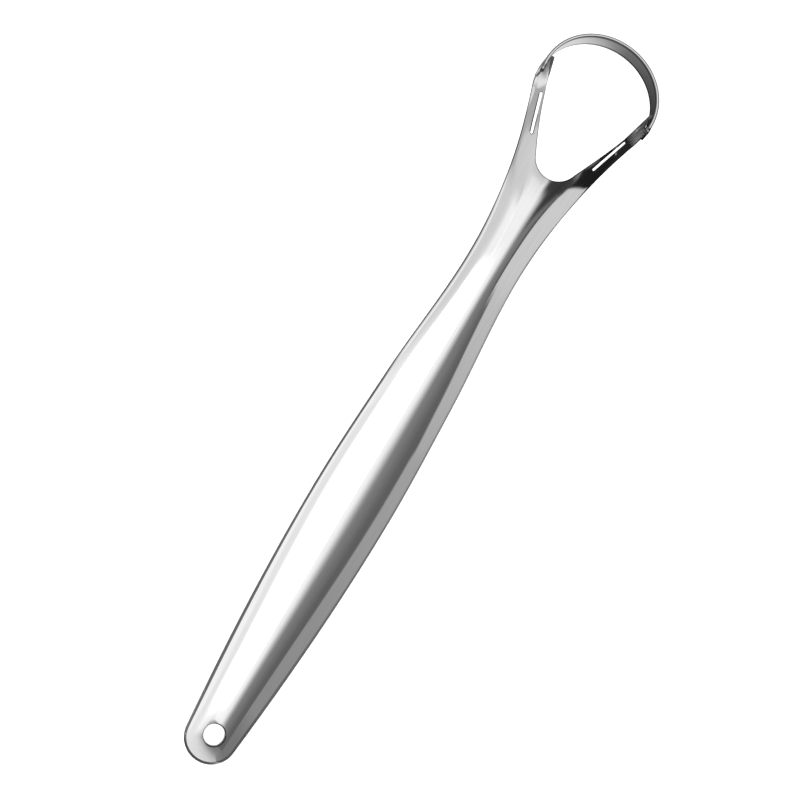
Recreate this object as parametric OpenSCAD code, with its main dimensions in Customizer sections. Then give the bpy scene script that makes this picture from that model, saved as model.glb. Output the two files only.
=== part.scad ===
// Tongue scraper: a pressed steel handle that forks into two arms, and a scraping band on edge.
// +Y runs from the tail to the band and +Z is the domed face. The tool lies as it rests on a table.
// The origin is the middle of the hang hole. Sizes are in millimetres.
// Places along the handle are measured from its tail end.

/* [Handle] */
// Length over all, from the tail end to the front of the band
overall_length = 155; // [140:1:180]
// Thickness of the pressed sheet
sheet_t = 0.6; // [0.5:0.05:0.9]
// Radius of the round tail end
tail_r = 5.1; // [4.6:0.1:6]
// Place of the grip's widest point
grip_at = 55.8; // [45:0.2:65]
// Width of the grip at its widest
grip_width = 15.7; // [13:0.1:18]
// Place of the neck's narrowest point, back from the bottom of the opening
neck_back = 19.2; // [15:0.2:24]
// Width of the neck at its narrowest
neck_width = 10.6; // [9:0.1:12]
// Width where the fork starts, just behind the opening
fork_width = 13.9; // [13:0.1:15]

/* [Crown] */
// Height of the domed face over its rim at the tail
tail_crown = 2.3; // [1.6:0.1:3]
// Height of the domed face over its rim at the grip
grip_crown = 3.4; // [2.4:0.1:4.4]
// Height of the domed face over its rim at the neck
neck_crown = 2.8; // [2:0.1:3.6]
// Height of the domed face over its rim where the fork starts
fork_crown = 2.2; // [1.6:0.1:2.8]

/* [Hang hole] */
// Diameter of the hang hole
hole_d = 4.2; // [3:0.1:5]
// Place of the hang hole
hole_at = 5.75; // [5:0.05:8]

/* [Fork] */
// Length of the opening behind the shoulders
fork_length = 16.8; // [15.6:0.2:18]
// Radius of the opening's round bottom
opening_r = 4.35; // [4:0.05:4.8]
// Slope of the opening's sides beside its round bottom, in degrees from the handle's line
opening_angle = 24.4; // [22:0.1:26]
// Width of an arm half way, seen from above
arm_mid_width = 2.95; // [2.7:0.05:3.2]
// Width of an arm where its tip starts, seen from above
arm_tip_width = 2.45; // [2.3:0.05:2.7]
// Rise from the outer to the inner edge of an arm half way
arm_mid_rise = 1.75; // [1.5:0.05:2]
// Rise from the outer to the inner edge of an arm where its tip starts
arm_tip_rise = 3.6; // [3.2:0.05:3.9]
// Drop of an arm's outer edge below the handle's rim half way
arm_mid_drop = 0.9; // [0.6:0.05:1.2]
// Drop of an arm's outer edge below the handle's rim where its tip starts
arm_tip_drop = 1.4; // [1.2:0.05:1.6]
// Distance from the start of the bent tip to the shoulders
tip_back = 3.2; // [2.9:0.05:3.6]

/* [Slots] */
// Width of the slot in each arm
slot_w = 0.5; // [0.4:0.05:0.6]
// Length of a slot between the centres of its round ends
slot_length = 7.5; // [5:0.1:8]
// Distance from the opening's edge to the slot's centre, at its end near the handle
slot_root_inset = 1.25; // [1.1:0.05:1.4]
// Distance from the opening's edge to the slot's centre, at its end near the tip
slot_tip_inset = 0.6; // [0.55:0.01:0.7]

/* [Scraping band] */
// Outer diameter of the band's half circle
band_d = 23.5; // [22.5:0.1:25]
// Width of the strip, which stands on edge
band_w = 4; // [3.6:0.1:4.6]
// Thickness of the strip
band_t = 0.6; // [0.4:0.05:0.7]
// Forward lean of the band, in degrees
band_lean = 28.5; // [24:0.5:32]
// Length of the straight ends behind the half circle
band_end = 1.9; // [1.6:0.05:2.2]
// Depth of the band's lower edge below the handle's rim, at the shoulders
band_drop = 0.9; // [0.7:0.05:1.2]

/* [Joint] */
// Length of the arm tips past the shoulders, inside the band
tip_reach = 1; // [0.6:0.1:1.6]
// Gap between an arm tip and the band
lap_gap = 0.05; // [0.03:0.01:0.1]
// Distance from the band's upper edge to the arm tip's edge
tip_top_inset = 0.25; // [0.1:0.05:0.6]
// Distance from the band's lower edge to the arm tip's edge
tip_low_inset = 0.3; // [0.1:0.05:0.6]
// Radius of the weld bead along each end of the band
bead_r = 0.4; // [0.3:0.05:0.5]

/* [Hidden] */
$fn = 96;

// How fast the edge spreads or the crown rises with each millimetre of length, at the outline's stations
tail_flare_share = 0.1;
waist_flare_share = -0.046;
fork_flare_share = 0.1875;
arm_mid_flare_share = 0.29;
arm_tip_flare_share = 0.355;
opening_mid_flare_share = 0.44;
opening_tip_flare_share = 0.34;
fork_crown_fall_share = -0.12;
arm_mid_crown_share = 0.58;
arm_tip_crown_share = 1.1;
arm_mid_drop_share = -0.11;
arm_tip_drop_share = -0.06;

// Places between the main stations, and the half width at the waist, as shares of what they lie between
waist_place_share = 0.473;
waist_width_share = 0.68;
arm_mid_place_share = 0.585;
arm_mid_outer_share = 0.817;

// How far the rows of the pressed shape lag behind at the outer edge, as shares of the opening's radius
fork_lag_share = 0.8;
arm_lag_share = 0.28;
tip_lag_share = 0.2;

// Rows and columns of the pressed shape
TAIL_ROWS = 9;
BODY_ROWS = 34;
CORNER_ROWS = 8;
ARM_ROWS = 9;
TIP_ROWS = 8;
COLUMNS = 8;
FIRST_TAIL_ANGLE = 4;

// Main stations
band_r = band_d / 2;
band_inner_r = band_r - band_t;
shoulder_y = overall_length - band_r * cos(band_lean) - band_w * sin(band_lean);
opening_y = shoulder_y - fork_length;
opening_centre_y = opening_y + opening_r;
neck_y = opening_y - neck_back;
waist_y = grip_at + waist_place_share * (neck_y - grip_at);
tip_y = shoulder_y - tip_back;
fork_y = opening_y - opening_r * fork_lag_share / 2;
arm_mid_y = fork_y + arm_mid_place_share * (tip_y - fork_y);

// The tail's round end meets the flaring sides where the circle has their slope
tail_angle = atan(tail_flare_share);
tail_y = tail_r * (1 - sin(tail_angle));
tail_hw = tail_r * cos(tail_angle);
grip_hw = grip_width / 2;
neck_hw = neck_width / 2;
waist_hw = neck_hw + waist_width_share * (grip_hw - neck_hw);
tip_hw = band_inner_r - lap_gap;
arm_mid_hw = tip_hw * arm_mid_outer_share;

// The opening's edge leaves its round bottom at the side slope
side_x = opening_r * cos(opening_angle);
side_y = opening_centre_y - opening_r * sin(opening_angle);
opening_mid_x = arm_mid_hw - arm_mid_width;
opening_tip_x = tip_hw - arm_tip_width;

// Crown that gives an arm its rise between its two edges
function crown_for(rise, inner, outer) = rise / (1 - pow(inner / outer, 2));
arm_mid_crown = crown_for(arm_mid_rise, opening_mid_x, arm_mid_hw);
arm_tip_crown = crown_for(arm_tip_rise, opening_tip_x, tip_hw);

// Stations of each curve: place, value, slope
outline = [
    [tail_y, tail_hw, tail_flare_share],
    [grip_at, grip_hw, 0],
    [waist_y, waist_hw, waist_flare_share],
    [neck_y, neck_hw, 0],
    [fork_y, fork_width / 2, fork_flare_share],
    [arm_mid_y, arm_mid_hw, arm_mid_flare_share],
    [tip_y, tip_hw, arm_tip_flare_share],
];
opening_side = [
    [side_y, side_x, tan(opening_angle)],
    [arm_mid_y, opening_mid_x, opening_mid_flare_share],
    [tip_y, opening_tip_x, opening_tip_flare_share],
];
crown_line = [
    [tail_y, tail_crown, 2 * tail_crown * tail_flare_share / tail_hw],
    [grip_at, grip_crown, 0],
    [neck_y, neck_crown, 0],
    [fork_y, fork_crown, fork_crown_fall_share],
    [arm_mid_y, arm_mid_crown, arm_mid_crown_share],
    [tip_y, arm_tip_crown, arm_tip_crown_share],
];
rim_line = [
    [neck_y, 0, 0],
    [fork_y, 0, 0],
    [arm_mid_y, -arm_mid_drop, arm_mid_drop_share],
    [tip_y, -arm_tip_drop, arm_tip_drop_share],
];

// Cubic between two stations
function between(a, b, y) =
    let (span = b[0] - a[0], t = (y - a[0]) / span, t2 = t * t, t3 = t2 * t)
    (1 - 3 * t2 + 2 * t3) * a[1] + (3 * t2 - 2 * t3) * b[1]
    + (t - 2 * t2 + t3) * span * a[2] + (t3 - t2) * span * b[2];
function station(line, y, i = 0) =
    (i >= len(line) - 2 || y < line[i + 1][0]) ? i : station(line, y, i + 1);
function along(line, y) = let (i = station(line, y)) between(line[i], line[i + 1], y);

// Squared half width in the round tail, and half width anywhere
function tail_square(y) = y * (2 * tail_r - y);
function half_width(y) = y < tail_y ? sqrt(tail_square(y)) : along(outline, y);
function rim_z(y) = y < neck_y ? 0 : along(rim_line, y);
function domed_z(x, y) = y < tail_y
    ? tail_crown * (tail_square(y) - x * x) / pow(tail_hw, 2)
    : rim_z(y) + along(crown_line, y) * (1 - pow(x / half_width(y), 2));
function domed_point(x, y) = [x, y, domed_z(x, y)];

// Unit vector, and the sheet's outward direction at a point of the domed face
function unit(v) = v / norm(v);
slope_step = sheet_t / 10;
function domed_normal(x, y) = unit([
    domed_z(x - slope_step, y) - domed_z(x + slope_step, y),
    domed_z(x, y - slope_step) - domed_z(x, y + slope_step),
    2 * slope_step]);

// A row of the right half: its inner and its outer end, as [x, y]
function lerp(a, b, t) = a + (b - a) * t;
function outer_end(y) = [half_width(y), y];
function opening_x(y) = along(opening_side, y);
function tail_row(i) =
    let (a = lerp(FIRST_TAIL_ANGLE, 90 - tail_angle, i / TAIL_ROWS), y = tail_r * (1 - cos(a)))
    [[0, y], outer_end(y)];
fork_lag = opening_r * fork_lag_share;
arm_lag = opening_r * arm_lag_share;
tip_lag = opening_r * tip_lag_share;
function body_row(i) =
    let (y = lerp(tail_y, opening_y, i / BODY_ROWS), past = max(0, (y - neck_y) / neck_back))
    [[0, y], outer_end(y - fork_lag * pow(past, 2))];
function corner_row(i) =
    let (t = i / CORNER_ROWS, a = lerp(90, opening_angle, t))
    [[opening_r * cos(a), opening_centre_y - opening_r * sin(a)],
     outer_end(lerp(opening_y - fork_lag, side_y - arm_lag, t))];
function arm_row(i) =
    let (t = i / ARM_ROWS, y = lerp(side_y, tip_y, t))
    [[opening_x(y), y], outer_end(lerp(side_y - arm_lag, tip_y - tip_lag, t))];
body_ends = concat([for (i = [0 : TAIL_ROWS]) tail_row(i)], [for (i = [1 : BODY_ROWS]) body_row(i)]);
arm_ends = concat([for (i = [1 : CORNER_ROWS]) corner_row(i)], [for (i = [1 : ARM_ROWS]) arm_row(i)]);

// A point of the band's own frame: across, along its half circle's axis of symmetry, and over its width
function band_point(x, y, z) = [
    x,
    shoulder_y + y * cos(band_lean) + z * sin(band_lean),
    -band_drop - y * sin(band_lean) + z * cos(band_lean)];

// A row as a list of [upper point, lower point]. The opening is cut straight down after the sheet is
// pressed, so the lower row starts a little further out, by the plan offset of the leaning sheet.
steps = [for (c = [0 : COLUMNS]) c / COLUMNS];
function flat(v) = [v[0], v[1]];
function under(p) = domed_point(p[0], p[1]) - sheet_t * domed_normal(p[0], p[1]);
function domed_row(ends, cut = 0) =
    let (low = ends[0] + cut * sheet_t * flat(domed_normal(ends[0][0], ends[0][1])))
    [for (v = steps)
        let (p = lerp(ends[0], ends[1], v))
        [domed_point(p[0], p[1]), under(lerp(low, ends[1], v))]];

// The bent tip is ruled from the arm's last row to an upright end inside the band
tip_x = sqrt(pow(band_inner_r, 2) - pow(tip_reach, 2)) - lap_gap;
function tip_end(v, x) = band_point(x, tip_reach, lerp(band_w - tip_top_inset, tip_low_inset, v));
tip_end_row = [for (v = steps) [tip_end(v, tip_x), tip_end(v, tip_x - sheet_t)]];
domed_arm_rows = [for (ends = arm_ends) domed_row(ends, 1)];
last_row = domed_arm_rows[len(domed_arm_rows) - 1];
arm_rows = concat(domed_arm_rows, [for (i = [1 : TIP_ROWS]) lerp(last_row, tip_end_row, i / TIP_ROWS)]);
function turned(p) = [-p[0], p[1], p[2]];
function mirrored(a) = [turned(a[0]), turned(a[1])];
function both_halves(row) = concat([for (c = [COLUMNS : -1 : 1]) mirrored(row[c])], row);
body_rows = [for (ends = body_ends) both_halves(domed_row(ends))];

// Points: every upper point, then every lower point. Body rows first, then the right and the left arm.
function upper_points(rows) = [for (row = rows) for (a = row) a[0]];
function lower_points(rows) = [for (row = rows) for (a = row) a[1]];
left_rows = [for (row = arm_rows) [for (a = row) mirrored(a)]];
BODY = len(body_rows);
ARM = len(arm_rows);
ACROSS = 2 * COLUMNS + 1;
ARM_START = BODY * ACROSS;
ARM_SIZE = ARM * (COLUMNS + 1);
LOWER = ARM_START + 2 * ARM_SIZE;
sheet_points = concat(
    upper_points(body_rows), upper_points(arm_rows), upper_points(left_rows),
    lower_points(body_rows), lower_points(arm_rows), lower_points(left_rows));

// Index of a body point, and of an arm point, whose row -1 is the body's last row
function body_i(r, c) = r * ACROSS + c;
function arm_i(side, r, c) = r < 0
    ? body_i(BODY - 1, COLUMNS + side * c)
    : ARM_START + (side > 0 ? 0 : ARM_SIZE) + r * (COLUMNS + 1) + c;
// Two triangles, or the same two turned over
function patch(a, b, c, d, turn) = turn ? [[a, b, c], [a, c, d]] : [[a, c, b], [a, d, c]];
function wall(a, b, turn) = patch(a, b, b + LOWER, a + LOWER, turn);
body_faces = [for (r = [0 : BODY - 2]) for (c = [0 : ACROSS - 2])
    let (a = body_i(r, c), b = body_i(r, c + 1), d = body_i(r + 1, c), e = body_i(r + 1, c + 1))
    each concat(patch(a, b, e, d, false), patch(a + LOWER, b + LOWER, e + LOWER, d + LOWER, true))];
arm_faces = [for (side = [1, -1]) for (r = [-1 : ARM - 2]) for (c = [0 : COLUMNS - 1])
    let (a = arm_i(side, r, c), b = arm_i(side, r, c + 1),
         d = arm_i(side, r + 1, c), e = arm_i(side, r + 1, c + 1), right = side > 0)
    each concat(patch(a, b, e, d, !right), patch(a + LOWER, b + LOWER, e + LOWER, d + LOWER, right))];
rim_faces = concat(
    [for (c = [0 : ACROSS - 2]) each wall(body_i(0, c), body_i(0, c + 1), true)],
    [for (r = [0 : BODY - 2]) each wall(body_i(r, 0), body_i(r + 1, 0), false)],
    [for (r = [0 : BODY - 2]) each wall(body_i(r, ACROSS - 1), body_i(r + 1, ACROSS - 1), true)],
    [for (side = [1, -1]) for (r = [-1 : ARM - 2]) for (c = [0, COLUMNS])
        each wall(arm_i(side, r, c), arm_i(side, r + 1, c), (side > 0) == (c > 0))],
    [for (side = [1, -1]) for (c = [0 : COLUMNS - 1])
        each wall(arm_i(side, ARM - 1, c), arm_i(side, ARM - 1, c + 1), side < 0)]);

// Frame with its Z along a direction and its X near another
module stand_on(at, z_axis, x_near) {
    y_axis = unit(cross(z_axis, x_near));
    x_axis = cross(y_axis, z_axis);
    multmatrix([
        [x_axis[0], y_axis[0], z_axis[0], at[0]],
        [x_axis[1], y_axis[1], z_axis[1], at[1]],
        [x_axis[2], y_axis[2], z_axis[2], at[2]]]) children();
}

// The tool rests on its tail and on the front of the band
hole_normal = domed_normal(0, hole_at);
hole_centre = domed_point(0, hole_at) - hole_normal * sheet_t / 2;
tail_low = domed_point(0, 0) - sheet_t * domed_normal(0, slope_step);
front_low = band_point(0, band_r, 0);
rest_tilt = atan((tail_low[2] - front_low[2]) / (front_low[1] - tail_low[1]));
module at_rest() rotate([rest_tilt, 0, 0]) translate(-hole_centre) children();

// Slot ends in plan, and the cutter that runs straight down between them
slot_tip_y = tip_y - slot_w / 2;
slot_root_y = slot_tip_y - slot_length;
slot_root = [opening_x(slot_root_y) + slot_root_inset, slot_root_y];
slot_tip = [opening_x(slot_tip_y) + slot_tip_inset, slot_tip_y];
slot_run = slot_tip - slot_root;
slot_depth = 2 * (arm_tip_rise + sheet_t);
module slot_cutter()
    translate((slot_root + slot_tip) / 2) rotate(atan2(slot_run[1], slot_run[0])) {
        cube([norm(slot_run), slot_w, slot_depth], center = true);
        for (end = [-1, 1]) translate([end * norm(slot_run) / 2, 0, 0])
            cylinder(d = slot_w, h = slot_depth, center = true, $fn = 24);
    }

module handle() color("silver") at_rest() difference() {
    polyhedron(points = sheet_points, faces = concat(body_faces, arm_faces, rim_faces), convexity = 8);
    stand_on(hole_centre, hole_normal, [1, 0, 0]) cylinder(d = hole_d, h = 4 * sheet_t, center = true);
    slot_cutter();
    mirror([1, 0, 0]) slot_cutter();
}

// Outline of the strip from above: half a ring with straight ends
module band_outline() difference() {
    union() {
        circle(r = band_r);
        translate([-band_r, -band_end]) square([band_d, band_end]);
    }
    circle(r = band_inner_r);
    translate([-band_inner_r, -band_d]) square([2 * band_inner_r, band_d]);
    translate([-band_d, -band_end - band_d]) square([2 * band_d, band_d]);
}

module in_band() translate([0, shoulder_y, -band_drop]) rotate([-band_lean, 0, 0]) children();

module scraper_band() color("gainsboro") at_rest() in_band() linear_extrude(band_w) band_outline();

// Weld bead: a round-ended rod in the corner between the band's end and the arm tip
bead_x = band_inner_r;
bead_y = -band_end - bead_r / 2;
module weld_bead() translate([bead_x, bead_y, 0]) {
    translate([0, 0, bead_r]) sphere(r = bead_r, $fn = 32);
    translate([0, 0, bead_r]) cylinder(r = bead_r, h = band_w - 2 * bead_r, $fn = 32);
    translate([0, 0, band_w - bead_r]) sphere(r = bead_r, $fn = 32);
}

module right_weld() color("dimgray") at_rest() in_band() weld_bead();
module left_weld() color("dimgray") at_rest() in_band() mirror([1, 0, 0]) weld_bead();

handle();
scraper_band();
left_weld();
right_weld();
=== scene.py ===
import math

import bmesh
import bpy
from mathutils import Matrix, Vector
from mathutils.kdtree import KDTree


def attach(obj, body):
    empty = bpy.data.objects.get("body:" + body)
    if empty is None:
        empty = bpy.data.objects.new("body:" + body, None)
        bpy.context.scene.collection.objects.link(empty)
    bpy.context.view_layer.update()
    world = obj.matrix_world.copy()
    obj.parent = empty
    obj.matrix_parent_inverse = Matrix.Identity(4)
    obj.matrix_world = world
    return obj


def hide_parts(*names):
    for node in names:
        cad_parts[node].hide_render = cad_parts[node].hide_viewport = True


# A polished steel tongue scraper: a pressed handle that forks, a scraping band on edge, two weld beads.
# The tool's sizes are millimetres, and MM turns them to metres.

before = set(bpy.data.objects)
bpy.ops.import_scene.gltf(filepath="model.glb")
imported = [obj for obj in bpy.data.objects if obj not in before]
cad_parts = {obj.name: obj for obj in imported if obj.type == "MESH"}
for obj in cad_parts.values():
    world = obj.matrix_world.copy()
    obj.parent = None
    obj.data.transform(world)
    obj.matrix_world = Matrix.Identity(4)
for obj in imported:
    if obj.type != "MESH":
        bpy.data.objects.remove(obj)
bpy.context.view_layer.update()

MM = 0.001

# Main sizes, as in the part's source
OVERALL_LENGTH = 155.0
SHEET = 0.6
TAIL_R = 5.1
GRIP_AT, GRIP_WIDTH = 55.8, 15.7
NECK_BACK, NECK_WIDTH = 19.2, 10.6
FORK_WIDTH = 13.9
TAIL_CROWN, GRIP_CROWN, NECK_CROWN, FORK_CROWN = 2.3, 3.4, 2.8, 2.2
HOLE_D, HOLE_AT = 4.2, 5.75
FORK_LENGTH = 16.8
OPENING_R, OPENING_ANGLE = 4.35, math.radians(24.4)
ARM_MID_WIDTH, ARM_TIP_WIDTH = 2.95, 2.45
ARM_MID_RISE, ARM_TIP_RISE = 1.75, 3.6
ARM_MID_DROP, ARM_TIP_DROP = 0.9, 1.4
TIP_BACK = 3.2
SLOT_W, SLOT_LENGTH = 0.5, 7.5
SLOT_ROOT_INSET, SLOT_TIP_INSET = 1.25, 0.6
BAND_D, BAND_W, BAND_T = 23.5, 4.0, 0.6
BAND_LEAN = math.radians(28.5)
BAND_END, BAND_DROP = 1.9, 0.9
LAP_GAP = 0.05
TIP_TOP_INSET = 0.25

# Places and widths in between, as shares of the sizes that they follow
WAIST_AT_SHARE, WAIST_WIDTH_SHARE = 0.473, 0.68
FORK_BACK_SHARE = 0.4
ARM_MID_AT_SHARE, ARM_MID_WIDTH_SHARE = 0.585, 0.817

BAND_R = BAND_D / 2
BAND_INNER_R = BAND_R - BAND_T
SHOULDER_Y = OVERALL_LENGTH - BAND_R * math.cos(BAND_LEAN) - BAND_W * math.sin(BAND_LEAN)
OPENING_Y = SHOULDER_Y - FORK_LENGTH
OPENING_CENTRE_Y = OPENING_Y + OPENING_R
NECK_Y = OPENING_Y - NECK_BACK
WAIST_Y = GRIP_AT + WAIST_AT_SHARE * (NECK_Y - GRIP_AT)
TIP_Y = SHOULDER_Y - TIP_BACK
FORK_Y = OPENING_Y - OPENING_R * FORK_BACK_SHARE
ARM_MID_Y = FORK_Y + ARM_MID_AT_SHARE * (TIP_Y - FORK_Y)
TAIL_FLARE = 0.1
TAIL_ANGLE = math.atan(TAIL_FLARE)
TAIL_Y = TAIL_R * (1 - math.sin(TAIL_ANGLE))
TAIL_HW = TAIL_R * math.cos(TAIL_ANGLE)
WAIST_HW = NECK_WIDTH / 2 + WAIST_WIDTH_SHARE * (GRIP_WIDTH - NECK_WIDTH) / 2
TIP_HW = BAND_INNER_R - LAP_GAP
ARM_MID_HW = TIP_HW * ARM_MID_WIDTH_SHARE
SIDE_X = OPENING_R * math.cos(OPENING_ANGLE)
SIDE_Y = OPENING_CENTRE_Y - OPENING_R * math.sin(OPENING_ANGLE)
OPENING_MID_X = ARM_MID_HW - ARM_MID_WIDTH
OPENING_TIP_X = TIP_HW - ARM_TIP_WIDTH
ARM_MID_CROWN = ARM_MID_RISE / (1 - (OPENING_MID_X / ARM_MID_HW) ** 2)
ARM_TIP_CROWN = ARM_TIP_RISE / (1 - (OPENING_TIP_X / TIP_HW) ** 2)

# Curves as stations of place, value and slope
OUTLINE = [
    (TAIL_Y, TAIL_HW, TAIL_FLARE),
    (GRIP_AT, GRIP_WIDTH / 2, 0),
    (WAIST_Y, WAIST_HW, -0.046),
    (NECK_Y, NECK_WIDTH / 2, 0),
    (FORK_Y, FORK_WIDTH / 2, 0.1875),
    (ARM_MID_Y, ARM_MID_HW, 0.29),
    (TIP_Y, TIP_HW, 0.355),
]
OPENING_SIDE = [
    (SIDE_Y, SIDE_X, math.tan(OPENING_ANGLE)),
    (ARM_MID_Y, OPENING_MID_X, 0.44),
    (TIP_Y, OPENING_TIP_X, 0.34),
]
CROWN_LINE = [
    (TAIL_Y, TAIL_CROWN, 2 * TAIL_CROWN * TAIL_FLARE / TAIL_HW),
    (GRIP_AT, GRIP_CROWN, 0),
    (NECK_Y, NECK_CROWN, 0),
    (FORK_Y, FORK_CROWN, -0.12),
    (ARM_MID_Y, ARM_MID_CROWN, 0.58),
    (TIP_Y, ARM_TIP_CROWN, 1.1),
]
RIM_LINE = [
    (NECK_Y, 0, 0),
    (FORK_Y, 0, 0),
    (ARM_MID_Y, -ARM_MID_DROP, -0.11),
    (TIP_Y, -ARM_TIP_DROP, -0.06),
]


def lerp(a, b, t):
    return a + (b - a) * t


def smooth(t):
    """A soft step from 0 to 1."""
    t = min(max(t, 0), 1)
    return t * t * (3 - 2 * t)


def along(line, y):
    """The value of a curve at a place, by a cubic between its two nearest stations."""
    i = 0
    while i < len(line) - 2 and y >= line[i + 1][0]:
        i += 1
    (ya, va, sa), (yb, vb, sb) = line[i], line[i + 1]
    span = yb - ya
    t = (y - ya) / span
    t2, t3 = t * t, t * t * t
    return ((1 - 3 * t2 + 2 * t3) * va + (3 * t2 - 2 * t3) * vb
            + (t - 2 * t2 + t3) * span * sa + (t3 - t2) * span * sb)


def tail_square(y):
    """The square of the round tail's half width."""
    return y * (2 * TAIL_R - y)


def half_width(y):
    return math.sqrt(max(tail_square(y), 0)) if y < TAIL_Y else along(OUTLINE, y)


def domed_z(x, y):
    """The height of the domed upper face."""
    if y < TAIL_Y:
        return TAIL_CROWN * (tail_square(y) - x * x) / TAIL_HW ** 2
    rim = 0 if y < NECK_Y else along(RIM_LINE, y)
    return rim + along(CROWN_LINE, y) * (1 - (x / half_width(y)) ** 2)


def domed_normal(x, y):
    step = 0.05
    return Vector((
        domed_z(x - step, y) - domed_z(x + step, y),
        domed_z(x, y - step) - domed_z(x, y + step),
        2 * step)).normalized()


def band_point(x, y, z):
    """A point of the band's own frame: across, along its axis of symmetry, over its width."""
    c, s = math.cos(BAND_LEAN), math.sin(BAND_LEAN)
    return Vector((x, SHOULDER_Y + y * c + z * s, -BAND_DROP - y * s + z * c))


# The tool rests on its tail and on the front of the band, with the hang hole's middle at the origin
NEAR_TAIL_END = 0.06
HOLE_NORMAL = domed_normal(0, HOLE_AT)
HOLE_CENTRE = Vector((0, HOLE_AT, domed_z(0, HOLE_AT))) - HOLE_NORMAL * SHEET / 2
TAIL_LOW = Vector((0, 0, domed_z(0, 0))) - SHEET * domed_normal(0, NEAR_TAIL_END)
FRONT_LOW = band_point(0, BAND_R, 0)
REST_TILT = math.atan((TAIL_LOW.z - FRONT_LOW.z) / (FRONT_LOW.y - TAIL_LOW.y))
AT_REST = Matrix.Scale(MM, 4) @ Matrix.Rotation(REST_TILT, 4, "X") @ Matrix.Translation(-HOLE_CENTRE)
BAND_PLACE = Matrix.Translation((0, SHOULDER_Y, -BAND_DROP)) @ Matrix.Rotation(-BAND_LEAN, 4, "X")


def finish_piece(bm, name, of_tool=True):
    """Makes a bmesh an object. A piece of the tool, in millimetres, is put at rest and shaded smooth."""
    if of_tool:
        bmesh.ops.transform(bm, matrix=AT_REST, verts=bm.verts[:])
    for f in bm.faces:
        f.smooth = of_tool
    mesh = bpy.data.meshes.new(name)
    bm.to_mesh(mesh)
    bm.free()
    piece = bpy.data.objects.new(name, mesh)
    bpy.context.scene.collection.objects.link(piece)
    return piece


# The handle's right half is a grid. Its rows run from the middle line, or the opening, to the outer edge.
# Round the opening they fan out, so their outer ends lag behind their inner ends.
TAIL_ROWS, BODY_ROWS, CORNER_ROWS, ARM_ROWS, TIP_ROWS = 20, 96, 22, 34, 14
INNER_COLUMNS, SLOT_COLUMNS, OUTER_COLUMNS = 6, 6, 14
COLUMNS = INNER_COLUMNS + SLOT_COLUMNS + OUTER_COLUMNS
FIRST_ROW_ANGLE = math.radians(4)
FORK_LAG, ARM_LAG, TIP_LAG = OPENING_R * 0.8, OPENING_R * 0.28, OPENING_R * 0.2
SLOT_CLEAR = 0.42
SLOT_TIP_Y = TIP_Y - SLOT_W / 2 - SLOT_CLEAR
SLOT_ROOT_Y = SLOT_TIP_Y + SLOT_CLEAR - SLOT_LENGTH
SLOT_ROOT = Vector((along(OPENING_SIDE, SLOT_ROOT_Y) + SLOT_ROOT_INSET, SLOT_ROOT_Y))
SLOT_TIP = Vector((along(OPENING_SIDE, SLOT_TIP_Y) + SLOT_TIP_INSET, SLOT_TIP_Y))
SLOT_WAY = (SLOT_TIP - SLOT_ROOT).normalized()
SLOT_SIDE = Vector((SLOT_WAY.y, -SLOT_WAY.x))


def outer_end(y):
    return Vector((half_width(y), y))


def row_ends():
    """The inner and the outer end of every row in plan, up to the crease where the tab begins."""
    ends = []
    for i in range(TAIL_ROWS + 1):
        a = lerp(FIRST_ROW_ANGLE, math.pi / 2 - TAIL_ANGLE, i / TAIL_ROWS)
        y = TAIL_R * (1 - math.cos(a))
        ends.append((Vector((0, y)), outer_end(y)))
    for i in range(1, BODY_ROWS + 1):
        y = lerp(TAIL_Y, OPENING_Y, i / BODY_ROWS)
        past_neck = max(0, (y - NECK_Y) / NECK_BACK)
        ends.append((Vector((0, y)), outer_end(y - FORK_LAG * past_neck ** 2)))
    for i in range(1, CORNER_ROWS + 1):
        t = i / CORNER_ROWS
        a = lerp(math.pi / 2, OPENING_ANGLE, t)
        inner = Vector((OPENING_R * math.cos(a), OPENING_CENTRE_Y - OPENING_R * math.sin(a)))
        ends.append((inner, outer_end(lerp(OPENING_Y - FORK_LAG, SIDE_Y - ARM_LAG, t))))
    for i in range(1, ARM_ROWS + 1):
        t = i / ARM_ROWS
        y = lerp(SIDE_Y, TIP_Y, t)
        inner = Vector((along(OPENING_SIDE, y), y))
        ends.append((inner, outer_end(lerp(SIDE_Y - ARM_LAG, TIP_Y - TIP_LAG, t))))
    return ends


ENDS = row_ends()
FIRST_CORNER = TAIL_ROWS + BODY_ROWS
FIRST_ARM = FIRST_CORNER + CORNER_ROWS
LAST_DOMED = len(ENDS) - 1
ROWS = LAST_DOMED + TIP_ROWS

# The last columns lie this far from the outer edge, and closer together where a row is short
RIM_STRIPS = (0.52, 0.3, 0.13, 0)
RIM_LIMIT_SHARE = 0.6
PLAIN_COLUMNS = COLUMNS - len(RIM_STRIPS) + 1
SLOT_BLEND_ROWS = CORNER_ROWS + 4


def rim_shares(row_length):
    unit = min(1, RIM_LIMIT_SHARE * row_length / RIM_STRIPS[0]) / row_length
    return [1 - d * unit for d in RIM_STRIPS]


def slot_span(row):
    """The shares of a row at which the slot's line, widened by half the slot, crosses it."""
    a, b = ENDS[row]
    run = (b - a).dot(SLOT_SIDE)
    middle = (SLOT_ROOT - a).dot(SLOT_SIDE) / run
    return middle - SLOT_W / 2 / run, middle + SLOT_W / 2 / run


def slotted_share(column, low, high):
    """Where a column lies on a row, as a share, when the slot's columns keep between low and high."""
    if column <= INNER_COLUMNS:
        return low * column / INNER_COLUMNS
    past_inner = column - INNER_COLUMNS
    if past_inner <= SLOT_COLUMNS:
        return lerp(low, high, past_inner / SLOT_COLUMNS)
    return lerp(high, 1, (past_inner - SLOT_COLUMNS) / (PLAIN_COLUMNS - INNER_COLUMNS - SLOT_COLUMNS))


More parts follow.
